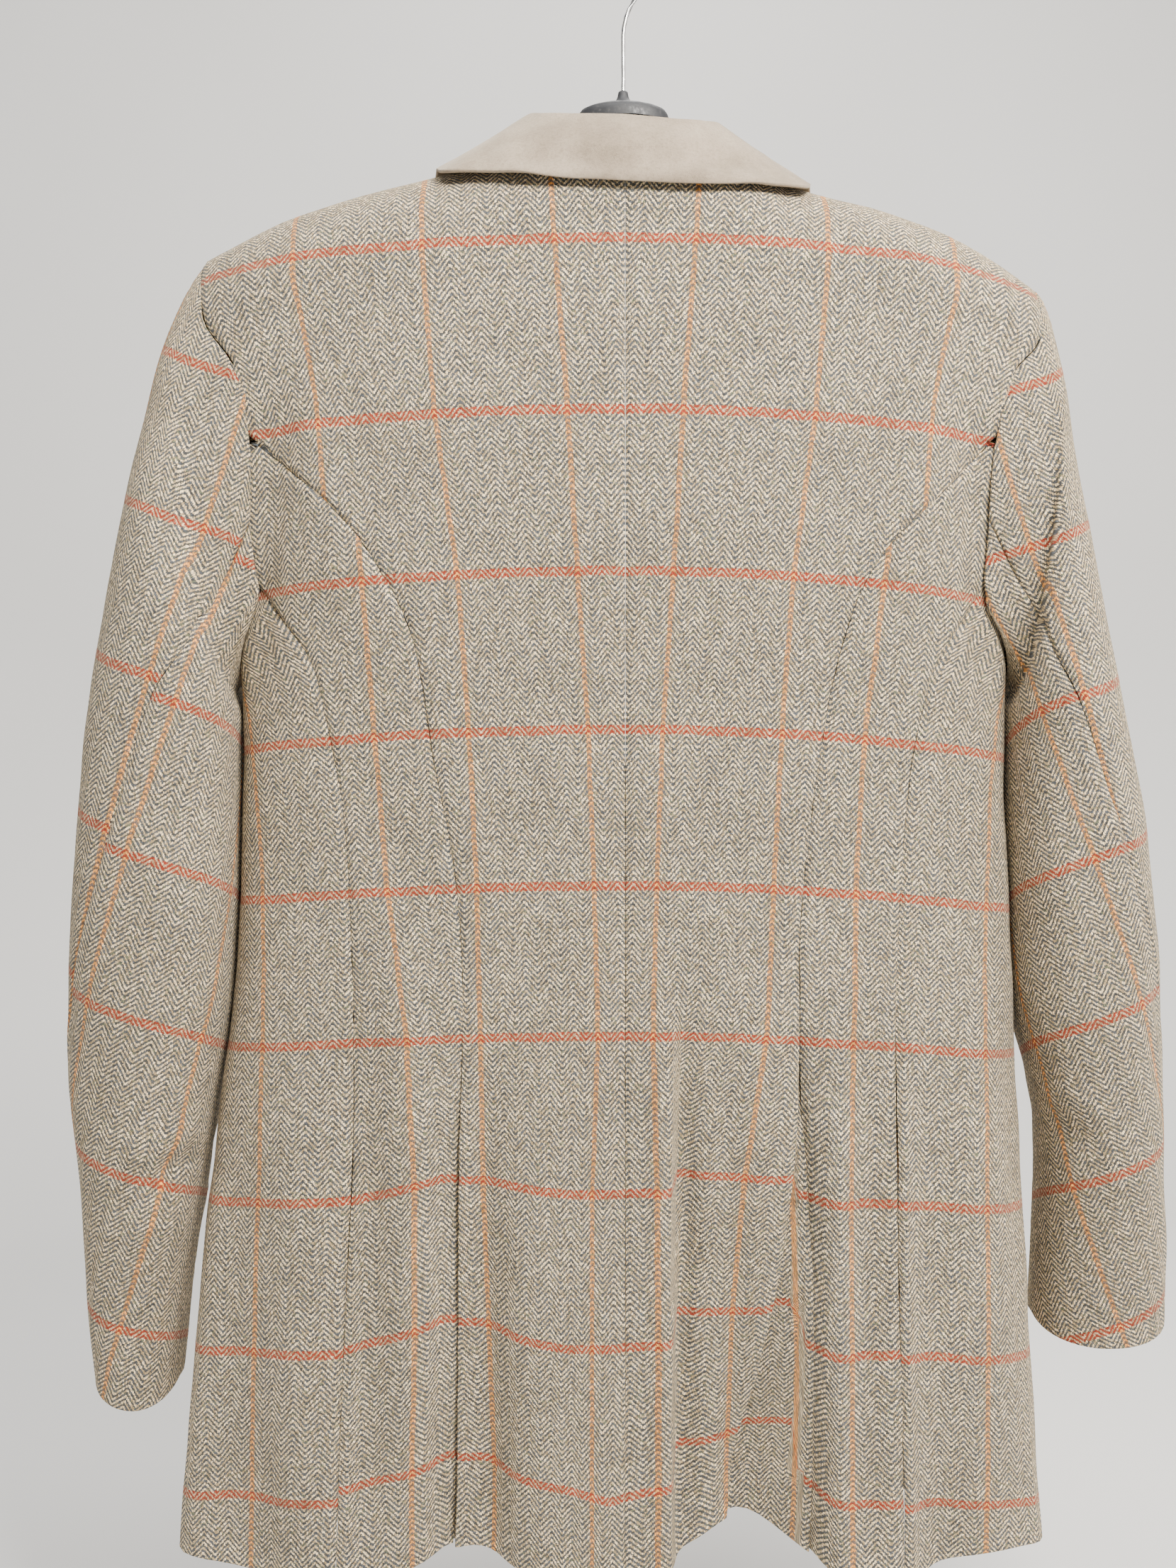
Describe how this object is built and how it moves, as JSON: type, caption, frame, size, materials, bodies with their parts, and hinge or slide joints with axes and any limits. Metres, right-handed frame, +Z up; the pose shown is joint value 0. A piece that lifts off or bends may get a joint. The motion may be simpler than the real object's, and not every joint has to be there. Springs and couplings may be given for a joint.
{
  "type": "tweed hacking jacket on a hanger",
  "caption": "Fitted tweed hacking jacket with a suede collar, side vents and two-piece sleeves, hanging on a plastic hanger with a wire hook",
  "frame": {"origin": "the inside top of the hanger's hook, where a rail holds it", "axes": "+Z is up, -Y is the jacket's back, +X is the wearer's right"},
  "size_m": [0.5891, 0.1293, 0.8695],
  "materials": {
    "tweed": "woven herringbone wool with a fuzzy nap and a window check",
    "suede": "brushed suede",
    "horn": "satin",
    "black_plastic": "matte, a little dusty",
    "steel_wire": "drawn wire"
  },
  "bodies": {
    "root": {"back_left": "tweed", "side_back_left": "tweed", "side_front_left": "tweed", "front_left": "tweed", "vent_underlap_left": "tweed", "lapel_left": "tweed", "pocket_flap_left": "tweed", "sleeve_top_left": "tweed", "sleeve_under_left": "tweed", "back_right": "tweed", "side_back_right": "tweed", "side_front_right": "tweed", "front_right": "tweed", "vent_underlap_right": "tweed", "lapel_right": "tweed", "pocket_flap_right": "tweed", "sleeve_top_right": "tweed", "sleeve_under_right": "tweed", "collar_fall": "suede", "collar_stand": "suede", "button_1": "horn", "button_2": "horn", "button_3": "horn", "hanger_hook": "steel_wire", "hanger_neck": "black_plastic", "hanger_body": "black_plastic"}
  },
  "joints": []
}
